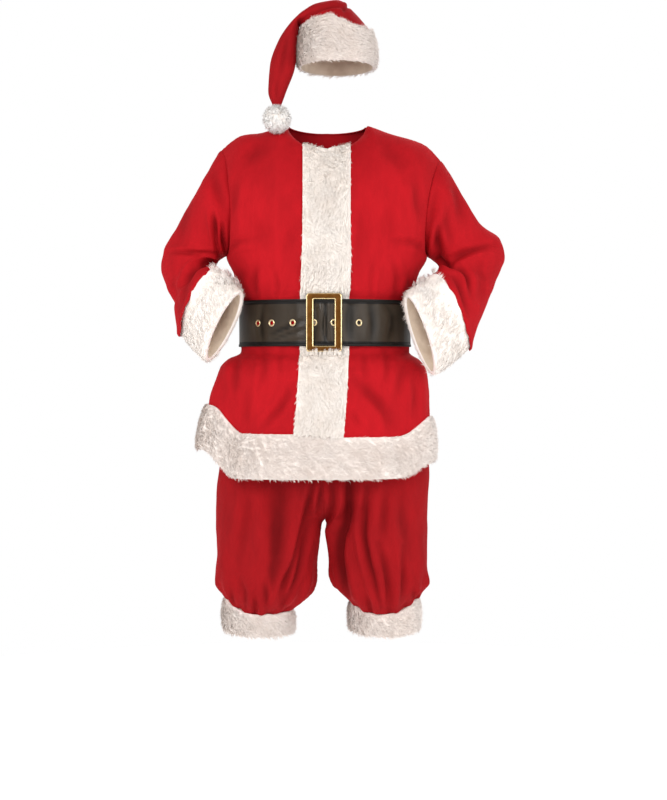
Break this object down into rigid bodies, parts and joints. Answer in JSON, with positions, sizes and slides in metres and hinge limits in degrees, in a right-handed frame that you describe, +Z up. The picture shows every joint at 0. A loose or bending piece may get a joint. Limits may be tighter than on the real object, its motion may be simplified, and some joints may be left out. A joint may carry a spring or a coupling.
{
  "type": "santa suit",
  "caption": "Red velour jacket, trousers and floppy hat with white plush fur trim and a wide black belt with a brass frame buckle, in its worn shape.",
  "frame": {"origin": "the middle of the shoulders, at the base of the neck", "axes": "+Z up, -Y the front of the suit, +X the wearer's left"},
  "size_m": [0.8092, 0.4289, 1.4673],
  "materials": {
    "red_velour": "short-pile red velour",
    "white_fur": "warm white long-pile plush",
    "black_leatherette": "soft semi-gloss black leatherette",
    "brass": "smooth yellow brass"
  },
  "bodies": {
    "root": {"belt_buckle": "brass", "belt_grommet_1": "brass", "belt_grommet_2": "brass", "belt_grommet_3": "brass", "belt_grommet_4": "brass", "belt_grommet_5": "brass", "belt_grommet_6": "brass", "belt_strap": "black_leatherette", "hat_band_fur": "white_fur", "hat_crown": "red_velour", "hat_pompom": "white_fur", "jacket_back": "red_velour", "jacket_cuff_left": "white_fur", "jacket_cuff_right": "white_fur", "jacket_front_left": "red_velour", "jacket_front_right": "red_velour", "jacket_hem_fur": "white_fur", "jacket_placket_fur": "white_fur", "jacket_sleeve_left": "red_velour", "jacket_sleeve_right": "red_velour", "trouser_cuff_left": "white_fur", "trouser_cuff_right": "white_fur", "trouser_leg_left": "red_velour", "trouser_leg_right": "red_velour", "trouser_waistband": "red_velour"}
  },
  "joints": []
}
